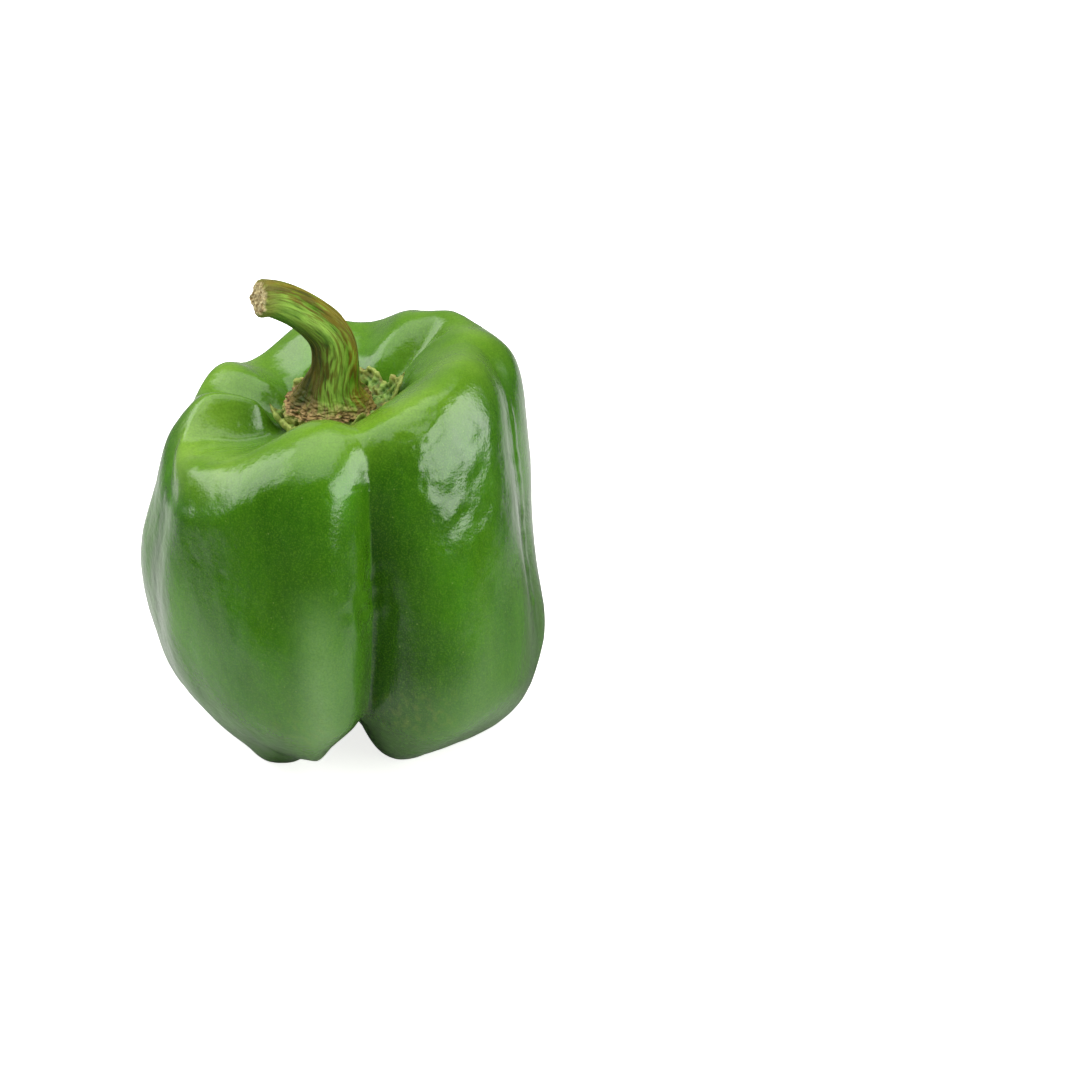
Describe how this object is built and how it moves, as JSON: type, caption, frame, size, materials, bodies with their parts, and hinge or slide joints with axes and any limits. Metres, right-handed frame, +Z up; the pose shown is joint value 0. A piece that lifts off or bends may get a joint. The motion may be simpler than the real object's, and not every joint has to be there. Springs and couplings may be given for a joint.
{
  "type": "bell pepper",
  "caption": "Blocky green bell pepper standing on its lobes, with a crinkled calyx in the dimple and a curved cut stem.",
  "frame": {"origin": "under the middle of the whole pepper, on the surface it stands on", "axes": "+Z up, along the fruit's axis; -Y faces the deep front groove; the cut stem bends towards -X"},
  "size_m": [0.0924, 0.0912, 0.116],
  "materials": {
    "skin": "waxy glossy green skin with fine orange-peel dimples and pale specks",
    "calyx": "matte, pitted yellow-green leaf tissue with brown dry edges",
    "stem": "satin, ridged green stalk with brown corky streaks and a dry tan cut end"
  },
  "bodies": {
    "root": {"fruit": "skin", "calyx": "calyx", "stem": "stem"}
  },
  "joints": []
}
